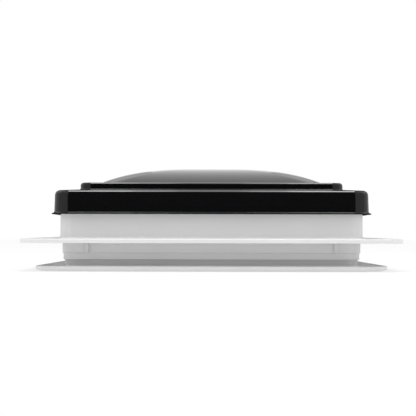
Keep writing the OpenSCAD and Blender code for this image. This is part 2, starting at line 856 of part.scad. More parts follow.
module crank_knob() {
  r = knob_d / 2;
  color("whitesmoke") difference() {
    union() {
      translate([0, 0, knob_bottom + 2]) cylinder(r = r, h = 9);
      translate([0, 0, knob_bottom]) cylinder(r1 = r - 2, r2 = r, h = 2);
      translate([0, 0, knob_bottom + 11]) cylinder(r1 = r, r2 = 10, h = 3);
      translate([0, 0, knob_bottom + 8]) cylinder(r = 8, h = knob_top - knob_bottom - 8);
    }
    for (i = [0:knob_lobes - 1]) rotate(i * 360 / knob_lobes)
      translate([r + 3, 0, knob_bottom - 1]) cylinder(r = 5.5, h = 20);
    translate([0, 0, knob_bottom - 1]) cylinder(r = 8, h = 6);
    translate([0, 0, knob_top - 7]) cylinder(r = worm_shaft_r, h = 10);
    translate([0, 0, knob_bottom]) cylinder(r = 1.7, h = 12);
  }
}

module knob_screw() {
  color("silver") translate([0, 0, knob_bottom + 5]) rotate([180, 0, 0]) pan_screw(1.7, 5, 3.6, 2);
}

// ---- insect screen ----

// Four windows between the bars, the cross ribs and the hub ring
module screen_windows() {
  rib = 4;
  side = screen_half - screen_bar - rib;
  for (sx = [-1, 1], sy = [-1, 1]) difference() {
    translate([sx > 0 ? rib : -rib - side, sy > 0 ? rib : -rib - side]) square(side);
    circle(hub_out);
  }
}

// The groove that the spline presses the mesh into
module spline_groove(z0, h) {
  corner = screen_corner - screen_bar / 2;
  difference() {
    rounded_prism(spline_half + 1.2, corner + 1.2, z0, z0 + h);
    rounded_prism(spline_half - 1.2, corner - 1.2, z0 - 1, z0 + h + 1);
  }
}

module screen_frame() {
  z0 = -screen_bottom;
  color("white") difference() {
    rounded_prism(screen_half, screen_corner, z0, z0 + screen_t);
    translate([0, 0, z0 - 1]) linear_extrude(screen_t + 2) screen_windows();
    translate([0, 0, z0 - 1]) cylinder(r = hub_in, h = screen_t + 2);
    spline_groove(z0 + screen_t - 1.5, 3);
    for (side = [-1, 1]) translate([side * spline_half - 3, -9, z0 - 1]) cube([6, 18, 2.2]);
  }
}

module screen_spline() {
  color("gray") spline_groove(-screen_bottom + screen_t - 1.5, 1.5);
}

module insect_screen() {
  z0 = -screen_bottom + screen_t;
  color([0.3, 0.3, 0.32]) difference() {
    rounded_prism(spline_half + 1.2, screen_corner - screen_bar / 2 + 1.2, z0, z0 + mesh_t);
    translate([0, 0, z0 - 1]) cylinder(r = hub_in + 1.5, h = 3);
  }
}

// ---- what is drawn ----

base_frame();
lid_seal();
trim_ring();
trim_screws();
bridge();
bridge_screws();
gearbox_shell(-1);  // gearbox_shell_left
gearbox_shell(1);  // gearbox_shell_right
gearbox_screws();
worm_bush(box_top - box_wall, box_top);  // worm_bush_upper
worm_bush(bridge_z[1], bridge_z[1] + box_floor);  // worm_bush_lower
worm_clip();
on_side(-1) bearing_bracket();  // bearing_bracket_left
on_side(1) bearing_bracket();  // bearing_bracket_right
bearing_screws();
on_side(-1) shaft_bush();  // shaft_bush_left
on_side(1) shaft_bush();  // shaft_bush_right
on_side(-1) hinge_pin();  // hinge_pin_left
on_side(1) hinge_pin();  // hinge_pin_right
lid();
on_side(-1) hinge_leaf();  // hinge_leaf_left
on_side(1) hinge_leaf();  // hinge_leaf_right
hinge_rivets();
on_side(-1) lift_bracket();  // lift_bracket_left
on_side(1) lift_bracket();  // lift_bracket_right
bracket_screws();
cross_shaft();
shaft_clips();
worm_wheel();
wheel_key();
on_side(-1) lift_arm();  // lift_arm_left
on_side(1) lift_arm();  // lift_arm_right
arm_set_screws();
roller_pins();
on_side(-1) roller();  // roller_left
on_side(1) roller();  // roller_right
worm_shaft();
crank_knob();
knob_screw();
screen_frame();
insect_screen();
screen_spline();
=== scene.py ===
"""Roof vent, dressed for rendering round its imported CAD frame. Profiles in millimetres, scene in metres."""
import json
import math

import bmesh
import bpy
from mathutils import Matrix, Vector


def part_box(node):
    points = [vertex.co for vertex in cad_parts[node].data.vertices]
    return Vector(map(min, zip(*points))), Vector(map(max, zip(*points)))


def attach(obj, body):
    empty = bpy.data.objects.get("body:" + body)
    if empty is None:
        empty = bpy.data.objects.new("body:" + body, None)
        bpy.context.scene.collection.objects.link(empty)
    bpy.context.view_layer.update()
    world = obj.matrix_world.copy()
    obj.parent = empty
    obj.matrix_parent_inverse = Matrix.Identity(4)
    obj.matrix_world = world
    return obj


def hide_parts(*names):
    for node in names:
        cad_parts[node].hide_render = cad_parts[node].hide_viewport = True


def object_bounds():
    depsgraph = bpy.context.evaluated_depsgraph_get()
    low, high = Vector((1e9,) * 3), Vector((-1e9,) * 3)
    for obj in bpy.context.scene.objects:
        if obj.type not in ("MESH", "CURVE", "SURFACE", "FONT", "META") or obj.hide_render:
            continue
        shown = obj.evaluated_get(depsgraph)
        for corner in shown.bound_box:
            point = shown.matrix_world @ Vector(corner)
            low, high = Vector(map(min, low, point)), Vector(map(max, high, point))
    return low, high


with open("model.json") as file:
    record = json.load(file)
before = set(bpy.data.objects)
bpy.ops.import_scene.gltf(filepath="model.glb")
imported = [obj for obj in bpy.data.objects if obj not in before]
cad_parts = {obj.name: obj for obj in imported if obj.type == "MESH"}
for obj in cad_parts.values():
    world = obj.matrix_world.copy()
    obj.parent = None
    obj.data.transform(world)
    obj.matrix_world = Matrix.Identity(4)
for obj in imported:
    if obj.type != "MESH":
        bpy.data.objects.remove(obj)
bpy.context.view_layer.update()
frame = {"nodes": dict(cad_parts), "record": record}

MM = 0.001
bpy.context.scene.view_settings.view_transform = "Standard"


# ---------------------------------------------------------------- places that the frame gives

def span(node, axis):
    """Lowest and highest coordinate of a CAD node along an axis, in millimetres."""
    low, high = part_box(node)
    return low[axis] / MM, high[axis] / MM


LIP = span("lid", 0)[1]                     # half width of the lid over its lip
LID_Z0, DOME_Z = span("lid", 2)
SKIRT = LIP - 3.2                           # half width of the lid's skirt
FLANGE = span("base_frame", 0)[1]
NECK_Z, COLLAR_Z = span("base_frame", 2)
TRIM = span("trim_ring", 0)[1]
TRIM_Z0, TRIM_Z1 = span("trim_ring", 2)
TRIM_NECK_Z0 = TRIM_Z0 + 7                  # where the trim's neck clears its upturned rim, and where its painted shade starts
COLLAR = span("lid_seal", 0)[1] - 3.0       # half width of the collar inside the seal's bulb
NECK = FLANGE - 43.5
SEAL_Z1 = span("lid_seal", 2)[1]
SCREEN_Z0 = span("screen_frame", 2)[0]
MESH_HALF = span("insect_screen", 0)[1]
KNOB_Z0, KNOB_Z1 = span("crank_knob", 2)
HINGE_X = sum(span("hinge_leaf_right", 0)) / 2
FLOOR_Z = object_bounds()[0][2] - 0.05 * MM


# ---------------------------------------------------------------- mesh helpers

def new_object(name, verts, faces, scale=MM):
    mesh = bpy.data.meshes.new(name)
    mesh.from_pydata([tuple(c * scale for c in v) for v in verts], [], faces)
    obj = bpy.data.objects.new(name, mesh)
    bpy.context.scene.collection.objects.link(obj)
    return obj


def shade(obj, angle=38):
    """Smooth shading, with sharp edges where faces meet at more than the angle."""
    mesh = obj.data
    bm = bmesh.new()
    bm.from_mesh(mesh)
    bmesh.ops.recalc_face_normals(bm, faces=bm.faces)
    bm.to_mesh(mesh)
    bm.free()
    mesh.polygons.foreach_set("use_smooth", [True] * len(mesh.polygons))
    mesh.set_sharp_from_angle(angle=math.radians(angle))
    mesh.update()
    return obj


def arc(cx, cz, r, a0, a1, n):
    """Points of a profile arc, from angle a0 to a1 in degrees."""
    return [(cx + r * math.cos(math.radians(a0 + (a1 - a0) * i / n)),
             cz + r * math.sin(math.radians(a0 + (a1 - a0) * i / n))) for i in range(n + 1)]


def square_ring(half, radius, z, corner_steps, side_at):
    """A rounded square at one height. side_at: places along a side, from -1 to 1 between corners."""
    flat = half - radius
    points = []
    for turn in range(4):
        c, s = ((1, 0), (0, 1), (-1, 0), (0, -1))[turn]
        for t in side_at:                   # along the side that faces -Y, then turned
            x, y = t * flat, -half
            points.append((x * c - y * s, x * s + y * c, z))
        for i in range(1, corner_steps):
            a = math.radians(-90 + 90 * i / corner_steps)
            x, y = flat + radius * math.cos(a), -flat + radius * math.sin(a)
            points.append((x * c - y * s, x * s + y * c, z))
    return points


def loft(name, rings, closed=False, capped=False):
    """Joins rings of points in turn: the last to the first if closed, with filled ends if capped."""
    n = len(rings[0])
    verts = [p for ring in rings for p in ring]
    faces = []
    for k in range(len(rings) if closed else len(rings) - 1):
        a, b = k * n, (k + 1) % len(rings) * n
        faces += [(a + i, a + (i + 1) % n, b + (i + 1) % n, b + i) for i in range(n)]
    if capped:
        faces += [tuple(range(n))[::-1], tuple((len(rings) - 1) * n + i for i in range(n))]
    return new_object(name, verts, faces)


def square_loft(name, profile, corner_steps, side_at, closed=False, capped=False):
    """Lofts a profile of (half width, corner radius, height) round a square."""
    rings = [square_ring(half, radius, z, corner_steps, side_at) for half, radius, z in profile]
    return loft(name, rings, closed, capped)


def block(low, high, bevel):
    """A box with rounded edges, in millimetres."""
    x0, y0, z0 = low
    x1, y1, z1 = high
    verts = [(x, y, z) for z in (z0, z1) for y in (y0, y1) for x in (x0, x1)]
    faces = [(0, 2, 3, 1), (4, 5, 7, 6), (0, 1, 5, 4), (2, 6, 7, 3), (0, 4, 6, 2), (1, 3, 7, 5)]
    return bevelled(new_object("block", verts, faces), bevel)


def bevelled(obj, width, angle=30):
    """Rounds an object's edges and keeps the result as its mesh."""
    mod = obj.modifiers.new("round", "BEVEL")
    mod.width = width * MM
    mod.segments = 2
    mod.limit_method = "ANGLE"
    mod.angle_limit = math.radians(angle)
    mod.use_clamp_overlap = True
    return applied(obj)


def applied(obj):
    """Turns an object's modifiers into its mesh."""
    graph = bpy.context.evaluated_depsgraph_get()
    mesh = bpy.data.meshes.new_from_object(obj.evaluated_get(graph))
    old = obj.data
    obj.modifiers.clear()
    obj.data = mesh
    bpy.data.meshes.remove(old)
    return obj


def joined(name, objs):
    """One object made of several, each a closed shell."""
    bm = bmesh.new()
    for obj in objs:
        start = len(bm.verts)
        bm.from_mesh(obj.data)
        bm.verts.ensure_lookup_table()
        for v in bm.verts[start:]:
            v.co = obj.matrix_world @ v.co
    for obj in objs:
        mesh = obj.data
        bpy.data.objects.remove(obj)
        bpy.data.meshes.remove(mesh)
    mesh = bpy.data.meshes.new(name)
    bm.to_mesh(mesh)
    bm.free()
    obj = bpy.data.objects.new(name, mesh)
    bpy.context.scene.collection.objects.link(obj)
    return obj


def cut(obj, tools):
    """Cuts the tools out of an object."""
    tool = joined("tool", tools)
    for o in (obj, tool):
        bm = bmesh.new()
        bm.from_mesh(o.data)
        bmesh.ops.recalc_face_normals(bm, faces=bm.faces)
        bm.to_mesh(o.data)
        bm.free()
    mod = obj.modifiers.new("cut", "BOOLEAN")
    mod.operation = "DIFFERENCE"
    mod.solver = "EXACT"
    mod.object = tool
    applied(obj)
    mesh = tool.data
    bpy.data.objects.remove(tool)
    bpy.data.meshes.remove(mesh)
    return obj


def lathe(name, profile, at=(0, 0), steps=40, shape=None):
    """Turns a profile of (radius, height) about a vertical axis. shape(angle, radius) changes a radius."""
    rings = []
    for r, z in profile:
        ring = []
        for i in range(steps):
            a = 2 * math.pi * i / steps
            rr = shape(a, r) if shape else r
            ring.append((at[0] + rr * math.cos(a), at[1] + rr * math.sin(a), z))
        rings.append(ring)
    return loft(name, rings, capped=True)


# ---------------------------------------------------------------- materials

class Look:
    """A procedural material: a Principled shader with noise in its colour, roughness and bump."""

    def __init__(self, name, color, roughness, metallic=0.0, ior=1.5):
        self.material = bpy.data.materials.new(name)
        self.material.use_nodes = True
        self.nodes = self.material.node_tree.nodes
        self.links = self.material.node_tree.links
        self.shader = self.nodes["Principled BSDF"]
        self.shader.inputs["Base Color"].default_value = (*color, 1)
        self.shader.inputs["Roughness"].default_value = roughness
        self.shader.inputs["Metallic"].default_value = metallic
        self.shader.inputs["IOR"].default_value = ior
        self.coords = self.nodes.new("ShaderNodeTexCoord").outputs["Object"]
        self.color = color
        self.roughness = roughness
        self.height = None

    def stretched(self, stretch):
        node = self.nodes.new("ShaderNodeMapping")
        node.inputs["Scale"].default_value = stretch
        self.links.new(self.coords, node.inputs["Vector"])
        return node.outputs["Vector"]

    def noise(self, size, detail, stretch=(1, 1, 1)):
        """Noise whose features are about size millimetres across."""
        node = self.nodes.new("ShaderNodeTexNoise")
        node.inputs["Scale"].default_value = 1 / (size * MM)
        node.inputs["Detail"].default_value = detail
        self.links.new(self.stretched(stretch), node.inputs["Vector"])
        return node.outputs["Fac"]

    def cells(self, size):
        """Rounded cells about size millimetres across."""
        node = self.nodes.new("ShaderNodeTexVoronoi")
        node.inputs["Scale"].default_value = 1 / (size * MM)
        self.links.new(self.coords, node.inputs["Vector"])
        return node.outputs["Distance"]

    def ramp(self, source, low, high, to_low, to_high):
        node = self.nodes.new("ShaderNodeMapRange")
        node.inputs["From Min"].default_value = low
        node.inputs["From Max"].default_value = high
        node.inputs["To Min"].default_value = to_low
        node.inputs["To Max"].default_value = to_high
        self.links.new(source, node.inputs["Value"])
        return node.outputs["Result"]

    def axis(self, name):
        """A coordinate of the piece, in metres."""
        node = self.nodes.new("ShaderNodeSeparateXYZ")
        self.links.new(self.coords, node.inputs["Vector"])
        return node.outputs[name]

    def mix_roughness(self, factor, low, high):
        """Roughness that goes from low, a number, to high, a node's output."""
        node = self.nodes.new("ShaderNodeMix")
        node.inputs["A"].default_value = low
        self.links.new(factor, node.inputs["Factor"])
        self.links.new(high, node.inputs["B"])
        self.links.new(node.outputs["Result"], self.shader.inputs["Roughness"])

    def vary_roughness(self, source, spread):
        self.links.new(self.ramp(source, 0.3, 0.7, self.roughness - spread, self.roughness + spread),
                       self.shader.inputs["Roughness"])
        return self

    def vary_color(self, source, other, low=0.35, high=0.75):
        mix = self.nodes.new("ShaderNodeMix")
        mix.data_type = "RGBA"
        mix.inputs["A"].default_value = (*self.color, 1)
        mix.inputs["B"].default_value = (*other, 1)
        self.links.new(self.ramp(source, low, high, 0, 1), mix.inputs["Factor"])
        self.links.new(mix.outputs["Result"], self.shader.inputs["Base Color"])
        return self

    def paint_shade_above(self, height, tone):
        """Painted shade: a darker tone above a height in millimetres, over a narrow blend, standing in for
        the shade that falls there.
        """
        low, high = (height - 0.3) * MM, (height + 0.3) * MM
        mix = self.nodes.new("ShaderNodeMix")
        mix.data_type = "RGBA"
        mix.blend_type = "MULTIPLY"
        mix.inputs["B"].default_value = (tone, tone, tone, 1)
        self.links.new(self.shader.inputs["Base Color"].links[0].from_socket, mix.inputs["A"])
        self.links.new(self.ramp(self.axis("Z"), low, high, 0, 1), mix.inputs["Factor"])
        self.links.new(mix.outputs["Result"], self.shader.inputs["Base Color"])
        return self

    def bump(self, source, depth):
        """Adds a bump whose full height is depth millimetres."""
        node = self.nodes.new("ShaderNodeBump")
        node.inputs["Strength"].default_value = 1.0
        node.inputs["Distance"].default_value = depth * MM
        self.links.new(source, node.inputs["Height"])
        if self.height:
            self.links.new(self.height.outputs["Normal"], node.inputs["Normal"])
        self.height = node
        self.links.new(node.outputs["Normal"], self.shader.inputs["Normal"])
        return self


def moulded(name, color, roughness=0.36, grain=0.012, tone=0.97):
    """Moulded ABS: a fine spark-eroded grain, slight flow marks and a little dust in its tone."""
    look = Look(name, color, roughness)
    look.vary_roughness(look.noise(38, 4), 0.05)
    look.vary_color(look.noise(60, 5), tuple(c * tone for c in color))
    look.bump(look.noise(0.9, 2), grain)
    look.bump(look.noise(24, 2), 0.03)
    return look


def plated(name, color, roughness=0.34):
    """Zinc-plated pressed steel with a faint spangle and rolling marks."""
    look = Look(name, color, roughness, metallic=1.0)
    look.vary_roughness(look.noise(7, 5), 0.09)
    look.vary_color(look.cells(5), tuple(c * 0.84 for c in color), 0.1, 0.6)
    look.bump(look.noise(1.6, 3, (1, 1, 6)), 0.006)
    return look


def bright(name, color, roughness=0.24):
    """Bare steel with fine lines along X."""
    look = Look(name, color, roughness, metallic=1.0)
    look.vary_roughness(look.noise(3, 4, (0.2, 3, 3)), 0.08)
    look.bump(look.noise(0.8, 2, (0.12, 2, 2)), 0.004)
    return look


def rubbery(name, color, roughness=0.72, pore=0.7):
    """Rubber or vinyl with a fine porous surface."""
    look = Look(name, color, roughness)
    look.vary_roughness(look.noise(9, 3), 0.08)
    look.vary_color(look.noise(18, 4), tuple(c * 1.5 for c in color))
    look.bump(look.noise(pore, 3), 0.03)
    return look


def nylon(name, color, roughness=0.42):
    """Slightly translucent engineering plastic."""
    look = Look(name, color, roughness)
    look.shader.inputs["Subsurface Weight"].default_value = 0.12
    look.shader.inputs["Subsurface Scale"].default_value = 1.5 * MM
    look.vary_roughness(look.noise(6, 3), 0.06)
    look.vary_color(look.noise(14, 3), tuple(c * 0.94 for c in color))
    look.bump(look.noise(0.7, 2), 0.008)
    return look


def coated(name, color, roughness=0.45):
    """Powder coat: a fine orange peel."""
    look = Look(name, color, roughness)
    look.vary_roughness(look.noise(5, 3), 0.06)
    look.bump(look.noise(1.1, 2), 0.03)
    return look


def smoked(name):
    """Dark smoke thermoformed sheet: glossy and slightly wavy, with hairlines, and dull on its cut edge."""
    look = Look(name, (0.004, 0.004, 0.0045), 0.09, ior=1.46)
    gloss = look.ramp(look.noise(30, 5), 0.3, 0.7, 0.07, 0.11)
    above_cut = look.ramp(look.axis("Z"), (LID_Z0 + 0.9) * MM, (LID_Z0 + 1.1) * MM, 0, 1)
    look.mix_roughness(above_cut, 0.62, gloss)
    look.links.new(look.ramp(above_cut, 0, 1, 0.05, 0.5), look.shader.inputs["Specular IOR Level"])
    look.bump(look.noise(42, 1.5), 0.02)
    look.bump(look.noise(2.2, 3, (0.05, 3, 3)), 0.0006)
    return look


LOOKS = {
    "base_plastic": moulded("abs_base", (0.77, 0.77, 0.77)),
    # the trim's neck above its rim is painted 22% darker: painted shade for its recess under the flange
    "trim_plastic": moulded("abs_trim", (0.74, 0.74, 0.74), 0.34).paint_shade_above(TRIM_NECK_Z0, 0.78),
    "screen_plastic": moulded("abs_screen", (0.8, 0.8, 0.79), 0.4),
    "knob_plastic": moulded("abs_knob", (0.8, 0.8, 0.79), 0.3),
    "bridge_plastic": moulded("abs_bridge", (0.74, 0.74, 0.73), 0.42),
    "gearbox_plastic": moulded("nylon_gearbox", (0.5, 0.51, 0.52), 0.48, 0.02, 0.9),
    "lid_smoke": smoked("smoked_sheet"),
    "seal_rubber": rubbery("sponge_rubber", (0.022, 0.022, 0.023)),
    "spline_rubber": rubbery("vinyl_spline", (0.1, 0.1, 0.105), 0.55, 1.2),
    "screen_mesh": rubbery("coated_mesh", (0.035, 0.035, 0.037), 0.5, 0.5),
    "bush_nylon": nylon("natural_nylon", (0.74, 0.7, 0.6)),
    "wheel_acetal": nylon("natural_acetal", (0.78, 0.76, 0.7), 0.34),
    "hinge_paint": coated("black_powder_coat", (0.018, 0.018, 0.018)),
    "spring_steel": coated("black_oxide", (0.03, 0.03, 0.031), 0.38),
    "zinc_steel": plated("zinc_plate", (0.6, 0.6, 0.58)),
    "bright_steel": bright("ground_steel", (0.62, 0.62, 0.63)),
    "screw_steel": bright("stainless_screw", (0.58, 0.58, 0.59), 0.28),
}
SLOT_OF = {row["node"]: row["material_slot"] for row in frame["record"]["subparts"]}
BODIES = frame["record"]["behaviour"]["bodies"]
BODY_OF = {node: body for body, nodes in BODIES.items() for node in nodes}


def dress(obj, slot):
    """Gives an object the finish of a material slot."""
    obj.data.materials.clear()
    obj.data.materials.append(LOOKS[slot].material)
    return obj


def piece(obj, name, node):
    """Puts a finished piece in the place of a CAD node: name, finish, body."""
    obj.name = name
    obj.data.name = name
    dress(obj, SLOT_OF[node])
    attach(obj, BODY_OF[node])
    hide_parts(node)
    return obj


# ---------------------------------------------------------------- lid

WALL = 2.5                                  # the lid's wall
CORNER = SKIRT - 20                         # where the skirt's corner arcs are centred
SHOULDER = CORNER + 13.4                    # where the shoulder's rounding starts
SHOULDER_Z = 61.4
SHOULDER_RISE = 1.5                         # how far the shoulder climbs to the step
SHOULDER_R = 6                              # rounding between skirt and shoulder
STEP = 154.9                                # half width of the raised step
STEP_Z = 71.0
STEP_R = 3.5                                # rounding of the step's upper edge
STEP_FOOT_R = 1.6
DOME = 135.0                                # half width of the dome's foot
DOME_CORNER = 27.0
DOME_RINGS = 46
NOTCH = (HINGE_X - 20, HINGE_X + 20)        # where the lip is cut away for a hinge
NOTCH_TOP = 41                              # height up to which it is cut away


def dome_ring(f, drop):
    """One level ring of the dome at a fraction f of its half width: squarer low down, rounder high up."""
    half = f * DOME
    rounding = DOME_CORNER / DOME + 0.45 * (1 - f) ** 1.3
    z = DOME_Z - (DOME_Z - STEP_Z) * f ** 3 - drop
    return half, half * min(0.85, rounding), z


def lid_profile():
    """The shell's section: outside from the top down, the lip, then inside back up."""
    foot = [(DOME + 2.0, DOME_CORNER - 2, STEP_Z), (DOME + 0.8, DOME_CORNER - 0.8, STEP_Z + 0.12)]
    fractions = [1 - (i / DOME_RINGS) ** 1.15 for i in range(1, DOME_RINGS)]
    outer = [dome_ring(f, 0) for f in reversed(fractions)] + foot[::-1]
    outer += [(STEP - 6, 9.5, STEP_Z)]
    outer += [(STEP - STEP_R + x, 11.5 + x, STEP_Z - STEP_R + z) for x, z in arc(0, 0, STEP_R, 90, 0, 8)]
    foot_z = SHOULDER_Z + SHOULDER_RISE + 1.5
    foot_arc = arc(0, 0, STEP_FOOT_R, 180, 266, 6)
    outer += [(STEP + STEP_FOOT_R + x, 16.6 + x, foot_z + z) for x, z in foot_arc]
    outer += [(SHOULDER - 10, 14.6, SHOULDER_Z + 0.69), (SHOULDER - 1.2, 13.2, SHOULDER_Z + 0.08)]
    rounding_z = SHOULDER_Z - SHOULDER_R
    outer += [(SHOULDER + x, 13.4 + x, rounding_z + z) for x, z in arc(0, 0, SHOULDER_R, 88, 0, 12)]
    outer += [(SKIRT - 0.55, 19.45, 53), (SKIRT - 0.25, 19.75, 45), (SKIRT - 0.03, 19.97, LID_Z0 + 4.6)]
    outer += [(SKIRT + 1.7 + x, 21.7 + x, LID_Z0 + 3.5 + z) for x, z in arc(0, 0, 1.7, 180, 258, 6)]
    lip = [(LIP - 0.6, 23.1, LID_Z0 + 1.42)]
    lip += [(LIP - 0.6 + x, 23.1 + x, LID_Z0 + 0.7 + z) for x, z in arc(0, 0, 0.62, 80, -90, 8)]
    lip += [(SKIRT - 1.2, 18.8, LID_Z0 + 0.08)]
    inner = [(SKIRT - WALL + 0.3, 17.8, LID_Z0 + 0.1), (SKIRT - WALL, 17.5, LID_Z0 + 0.5)]
    inner += [(SKIRT - WALL - 0.3, 17.2, 45)]
    inner += [(SHOULDER + x, 13.4 + x, rounding_z + z) for x, z in arc(0, 0, SHOULDER_R - WALL, 0, 86, 7)]
    inner_z = SHOULDER_Z + SHOULDER_RISE - WALL
    inner += [(STEP - WALL + 2.6, 14.4, inner_z - 0.1), (STEP - WALL + 0.4, 13.0, inner_z + 0.5)]
    inner += [(STEP - WALL, 12.5, inner_z + 1.2), (STEP - WALL, 12.5, STEP_Z - WALL - 1.2)]
    inner += [(STEP - WALL - 1.2, 11.3, STEP_Z - WALL), (DOME + 1, DOME_CORNER - 1, STEP_Z - WALL)]
    inner += [dome_ring(f, WALL) for f in fractions]
    return outer + lip + inner


def make_lid():
    notch = [s * n / CORNER for n in NOTCH for s in (-1, 1)]
    crisp = 0.35 / CORNER
    side_at = sorted([-1, -0.8, 0, 0.8, 1] + [n + e for n in notch for e in (-crisp, crisp)])
    shell = square_loft("lid_shell", lid_profile(), 16, side_at, capped=True)
    inside = (NOTCH[0] * MM, NOTCH[1] * MM)
    for v in shell.data.vertices:           # the lip stops at the skirt where a hinge leaf passes
        if v.co.y > SKIRT * MM and inside[0] < abs(v.co.x) < inside[1] and v.co.z < NOTCH_TOP * MM:
            v.co.y = (SKIRT - 0.05) * MM
    foot = span("lift_bracket_right", 2)[1]
    boss = [(1.6, foot + 0.02), (3.6, foot + 0.02), (4, foot + 0.4), (4.1, 67), (4.8, 68.6), (5.4, 69.4)]
    bosses = [lathe("boss", boss, screw, 32) for screw in island_centres("bracket_screws")]
    return shade(joined("lid_shell", [shell] + bosses), 40)


def island_centres(node, axes=(0, 1)):
    """Centres of the separate solids in a CAD node, in millimetres, along two axes."""
    mesh = frame["nodes"][node].data
    parent = list(range(len(mesh.vertices)))

    def find(i):
        while parent[i] != i:
            parent[i] = parent[parent[i]]
            i = parent[i]
        return i

    places = {}
    for v in mesh.vertices:                 # corners that share a place belong together
        key = tuple(round(c, 6) for c in v.co)
        parent[v.index] = find(places.setdefault(key, v.index))
    for e in mesh.edges:
        a, b = (find(i) for i in e.vertices)
        parent[a] = b
    groups = {}
    for v in mesh.vertices:
        groups.setdefault(find(v.index), []).append(v.co)
    centres = []
    for group in groups.values():
        columns = [[c[k] for c in group] for k in axes]
        centres.append(tuple((min(column) + max(column)) / 2 / MM for column in columns))
    return sorted(centres)


# ---------------------------------------------------------------- base frame

def base_profile():
    """The wall's section all round: neck, flange and collar."""
    p = [(NECK - 2.6, 17.4, NECK_Z + 0.4), (NECK - 2.2, 17.8, NECK_Z), (NECK - 1.6, 18.4, NECK_Z),
         (NECK - 1.2, 18.8, NECK_Z + 0.4), (NECK - 1.2, 18.8, -12.3), (NECK - 1.1, 18.9, -11.95),
         (NECK - 0.15, 19.85, -11.4), (NECK, 20, -11.05), (NECK, 20, -1.2)]
    p += [(NECK + 1 + x, 21 + x, -1 + z) for x, z in arc(0, 0, 1, 180, 92, 5)]
    p += [(NECK + 20, 18, 0), (FLANGE - 8, 12, 0)]
    p += [(FLANGE - 0.6 + x, 11.4 + x, 0.6 + z) for x, z in arc(0, 0, 0.6, -90, 0, 4)]
    p += [(FLANGE - 1.7 + x, 10.3 + x, 3.3 + z) for x, z in arc(0, 0, 1.7, 0, 87, 8)]
    p += [(FLANGE - 20, 12, 6.05), (COLLAR + 8, 15, 6.58)]
    p += [(COLLAR + 1.8 + x, 16.8 + x, 8.65 + z) for x, z in arc(0, 0, 1.8, 265, 180, 7)]
    p += [(COLLAR, 15, 30)]
    p += [(COLLAR - 0.8 + x, 14.2 + x, COLLAR_Z - 0.8 + z) for x, z in arc(0, 0, 0.8, 0, 90, 4)]
    p += [(COLLAR - 3 + 0.6 + x, 12.6 + x, COLLAR_Z - 0.6 + z) for x, z in arc(0, 0, 0.6, 90, 180, 3)]
    p += [(COLLAR - 3, 12, 4.6), (COLLAR - 3.6, 12.4, 3.6), (NECK - 2.0, 17.4, 3.5), (NECK - 2.6, 17.4, 3.0)]
    return p


def screw_places(pattern):
    """Places of the screws in the record's mounts whose names start with the pattern's name."""
    places = []
    for mount in frame["record"]["mounts"]:
        if mount["name"].startswith(pattern):
            dx, dy = mount["dims"]["spacing_x_mm"] / 2, mount["dims"]["spacing_y_mm"] / 2
            places += [(sx * dx, sy * dy) for sx in (-1, 1) for sy in (-1, 1)]
    return places


def countersink_tool(x, y, face, r, top):
    """A hole with a small rounded lead at its mouth."""
    return lathe("hole", [(r, face - 3), (r, top - 0.35), (r + 0.35, top), (r + 0.35, top + 3)], (x, y), 32)


def hinge_ear(x0, x1):
    """One ear of a hinge: a rounded plate along X, from the collar to the pin."""
    pin_y, pin_z = hinge_axis()
    outline = [(COLLAR - 0.8, 11.5), (pin_y - 4, pin_z - 6.0)]
    outline += [(pin_y + y, pin_z + z) for y, z in arc(0, 0, 6, -75, 88, 12)]
    outline += [(COLLAR - 0.8, pin_z + 6)]
    n = len(outline)
    verts = [(x0, y, z) for y, z in outline] + [(x1, y, z) for y, z in outline]
    faces = [tuple(range(n)), tuple(range(2 * n - 1, n - 1, -1))]
    faces += [(i, (i + 1) % n, n + (i + 1) % n, n + i) for i in range(n)]
    return bevelled(shade(new_object("ear", verts, faces)), 0.6)


def hinge_axis():
    """Y and Z of the lid's hinge, in millimetres."""
    joint = next(j for j in frame["record"]["behaviour"]["joints"] if j["name"] == "lid_hinge")
    return joint["pos_m"][1] / MM, joint["pos_m"][2] / MM


def make_base():
    shell = square_loft("base_shell", base_profile(), 14, (-1, -0.6, -0.2, 0.2, 0.6, 1), closed=True)
    cut(shell, [countersink_tool(x, y, 0, 2.3, 5.62) for x, y in screw_places("roof_screws")])
    parts = [shell]
    rib_x, rib_half, rib_out = 144.2, 1.9, NECK + 3.0
    for turn in (0, 1):                     # front and rear
        for side in (-1, 1):
            low = (side * rib_x - rib_half, -rib_out, -11.4)
            high = (side * rib_x + rib_half, -NECK + 1.5, 0.8)
            rib = block(low, high, 0.5)
            rib.data.transform(Matrix.Rotation(turn * math.pi, 4, "Z"))
            parts.append(rib)
    for side in (-1, 1):
        for ear in (-1, 1):
            mid = side * HINGE_X + ear * 15.0
            parts.append(hinge_ear(mid - 2.5, mid + 2.5))
    pad_in = 158                            # inner end of the bridge's pads
    pad_out = COLLAR - 1.5
    for x, y in island_centres("bridge_screws"):
        start = pad_in if x > 0 else -pad_out
        parts.append(block((start, y - 6, -3.5), (start + pad_out - pad_in, y + 6, 7.6), 0.7))
    profile = [(4.7, -COLLAR + 2), (5, -COLLAR + 3), (5, -COLLAR + 8.6), (4.6, -COLLAR + 9)]
    for y, z in {tuple(round(c, 3) for c in p) for p in island_centres("bearing_screws", (1, 2))}:
        for side in (-1, 1):
            boss = lathe("boss", profile, (0, 0), 32)
            boss.data.transform(Matrix.Rotation(-side * math.pi / 2, 4, "Y"))
            boss.data.transform(Matrix.Translation((0, y * MM, z * MM)))
            parts.append(boss)
    return shade(joined("base_shell", parts), 38)


# ---------------------------------------------------------------- trim ring

TRIM_NECK = (NECK - 5.3, NECK - 2.9)        # inside and outside of the trim's neck
STOP_Z = -13.0                              # underside of the ledge that stops the screen


